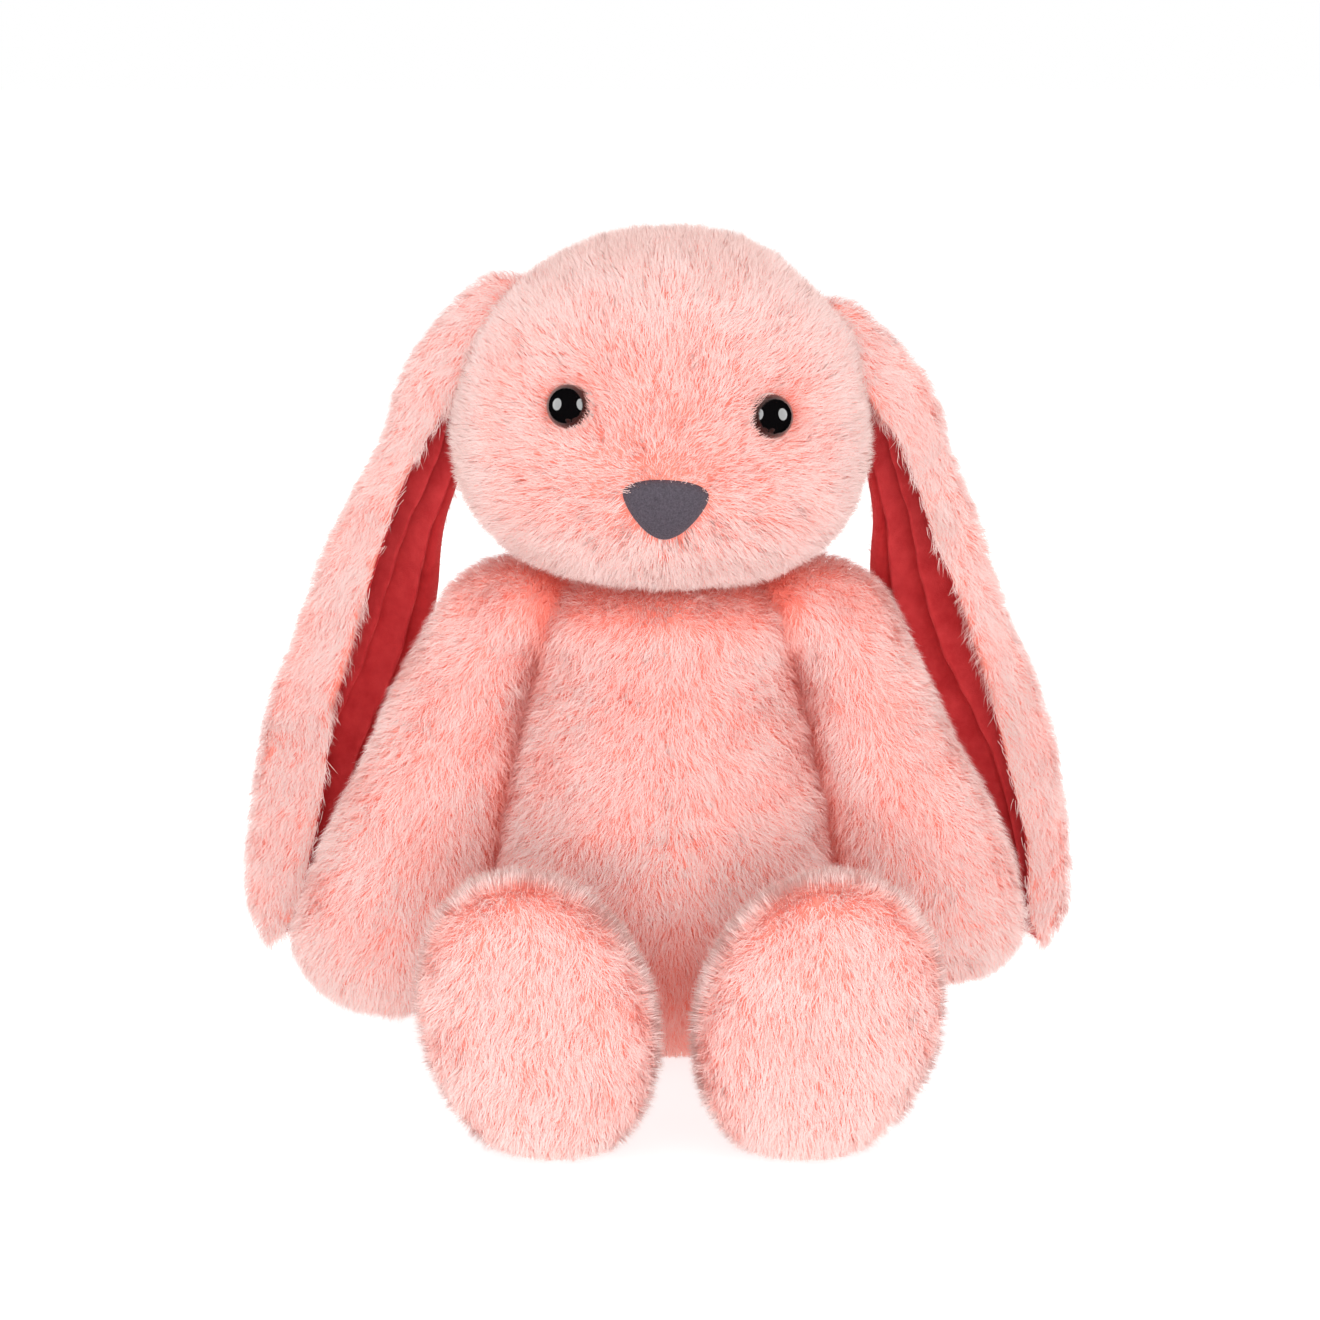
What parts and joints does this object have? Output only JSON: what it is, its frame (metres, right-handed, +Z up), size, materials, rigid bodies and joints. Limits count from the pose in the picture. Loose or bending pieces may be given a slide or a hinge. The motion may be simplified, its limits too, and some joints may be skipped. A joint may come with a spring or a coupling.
{
  "type": "stuffed bunny rabbit",
  "caption": "Seated plush rabbit with long folded lop ears, a round head, floppy arms and long legs whose soles face forward.",
  "frame": {"origin": "middle of the flat base that the seated toy rests on", "axes": "+Z up, -Y is the way the toy faces, +X towards the toy's own left side"},
  "size_m": [0.3009, 0.2268, 0.2879],
  "materials": {
    "fur": "long soft pile, pink",
    "velour": "short velour, deep red",
    "nose_cloth": "short brushed cloth, slate grey",
    "eye_black": "polished",
    "washer_plastic": "moulded",
    "filling": "loose polyester fibre",
    "calico": "woven cotton"
  },
  "bodies": {
    "torso": {"body_front_left_panel": "fur", "body_front_right_panel": "fur", "body_back_left_panel": "fur", "body_back_right_panel": "fur", "body_base_panel": "fur", "body_filling": "filling", "bean_pouch": "calico", "tail_panel": "fur", "tail_filling": "filling"},
    "neck": {"neck_filling": "filling"},
    "head": {"head_front_panel": "fur", "head_back_panel": "fur", "head_filling": "filling", "eye_left": "eye_black", "eye_right": "eye_black", "eye_washer_left": "washer_plastic", "eye_washer_right": "washer_plastic", "nose_patch": "nose_cloth", "nose_padding": "filling"},
    "ear_left": {"ear_left_fur_panel": "fur", "ear_left_lining": "velour"},
    "ear_right": {"ear_right_fur_panel": "fur", "ear_right_lining": "velour"},
    "arm_left": {"arm_left_front_panel": "fur", "arm_left_back_panel": "fur", "arm_left_filling": "filling"},
    "arm_right": {"arm_right_front_panel": "fur", "arm_right_back_panel": "fur", "arm_right_filling": "filling"},
    "leg_left": {"leg_left_panel": "fur", "foot_left_sole": "fur", "leg_left_filling": "filling"},
    "leg_right": {"leg_right_panel": "fur", "foot_right_sole": "fur", "leg_right_filling": "filling"}
  },
  "joints": [
    {"name": "head_tilt", "type": "hinge", "parent": "torso", "child": "neck", "pos_m": [0, -0.002, 0.167], "axis": [0, 1, 0], "range_deg": [-7, 7], "stiffness_Nm_per_rad": 0.5},
    {"name": "head_nod", "type": "hinge", "parent": "neck", "child": "head", "pos_m": [0, -0.002, 0.167], "axis": [1, 0, 0], "range_deg": [-4, 15], "stiffness_Nm_per_rad": 0.5},
    {"name": "ear_left_lift", "type": "hinge", "parent": "head", "child": "ear_left", "pos_m": [0.0545, -0.003, 0.2685], "axis": [0, -1, 0], "range_deg": [0, 80]},
    {"name": "ear_right_lift", "type": "hinge", "parent": "head", "child": "ear_right", "pos_m": [-0.0505, -0.003, 0.275], "axis": [0, 1, 0], "range_deg": [0, 80]},
    {"name": "arm_left_raise", "type": "hinge", "parent": "torso", "child": "arm_left", "pos_m": [0.061, -0.004, 0.1515], "axis": [0, -1, 0], "range_deg": [0, 75]},
    {"name": "arm_right_raise", "type": "hinge", "parent": "torso", "child": "arm_right", "pos_m": [-0.061, -0.004, 0.1515], "axis": [0, 1, 0], "range_deg": [0, 75]},
    {"name": "leg_left_swing", "type": "hinge", "parent": "torso", "child": "leg_left", "pos_m": [0.036, -0.05, 0.027], "axis": [-1, 0, 0], "range_deg": [-60, 35]},
    {"name": "leg_right_swing", "type": "hinge", "parent": "torso", "child": "leg_right", "pos_m": [-0.036, -0.05, 0.027], "axis": [-1, 0, 0], "range_deg": [-60, 35]}
  ]
}
